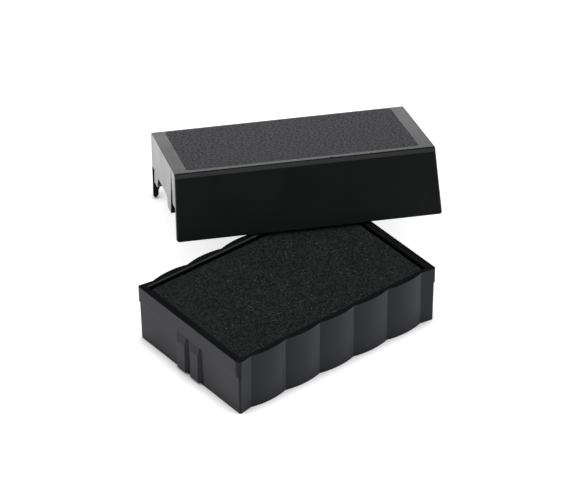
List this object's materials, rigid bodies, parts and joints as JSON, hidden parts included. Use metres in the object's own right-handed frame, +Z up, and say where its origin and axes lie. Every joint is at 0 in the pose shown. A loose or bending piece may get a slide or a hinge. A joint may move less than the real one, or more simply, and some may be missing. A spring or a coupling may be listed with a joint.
{
  "type": "ink pad cartridge",
  "caption": "Shallow stamp pad cartridge with scalloped grip sides and an inked cloth pad, its one-piece protective cap off and leaning on one corner.",
  "frame": {"origin": "the middle of the tray's flat base, which stands on the table", "axes": "+X along the tray's length towards the end where the cap leans, +Y across the tray towards the cap, +Z up"},
  "size_m": [0.094, 0.0852, 0.0301],
  "materials": {
    "tray_plastic": "satin black moulded ABS",
    "ink_felt": "dense wool felt soaked with black ink",
    "ink_foam": "open-cell foam soaked with black ink",
    "pad_cloth": "fine woven cloth, damp with black ink",
    "cap_plastic": "glossy black moulded polystyrene with a spark-textured panel on top"
  },
  "bodies": {
    "cartridge": {"tray": "tray_plastic", "reservoir_felt": "ink_felt", "pad_foam": "ink_foam", "pad_cloth": "pad_cloth"},
    "cover": {"cap": "cap_plastic"}
  },
  "joints": [
    {"name": "cap_lift", "type": "slide", "parent": "cartridge", "child": "cover", "axis": [0, 0, 1], "range_m": [0, 0.045]}
  ]
}
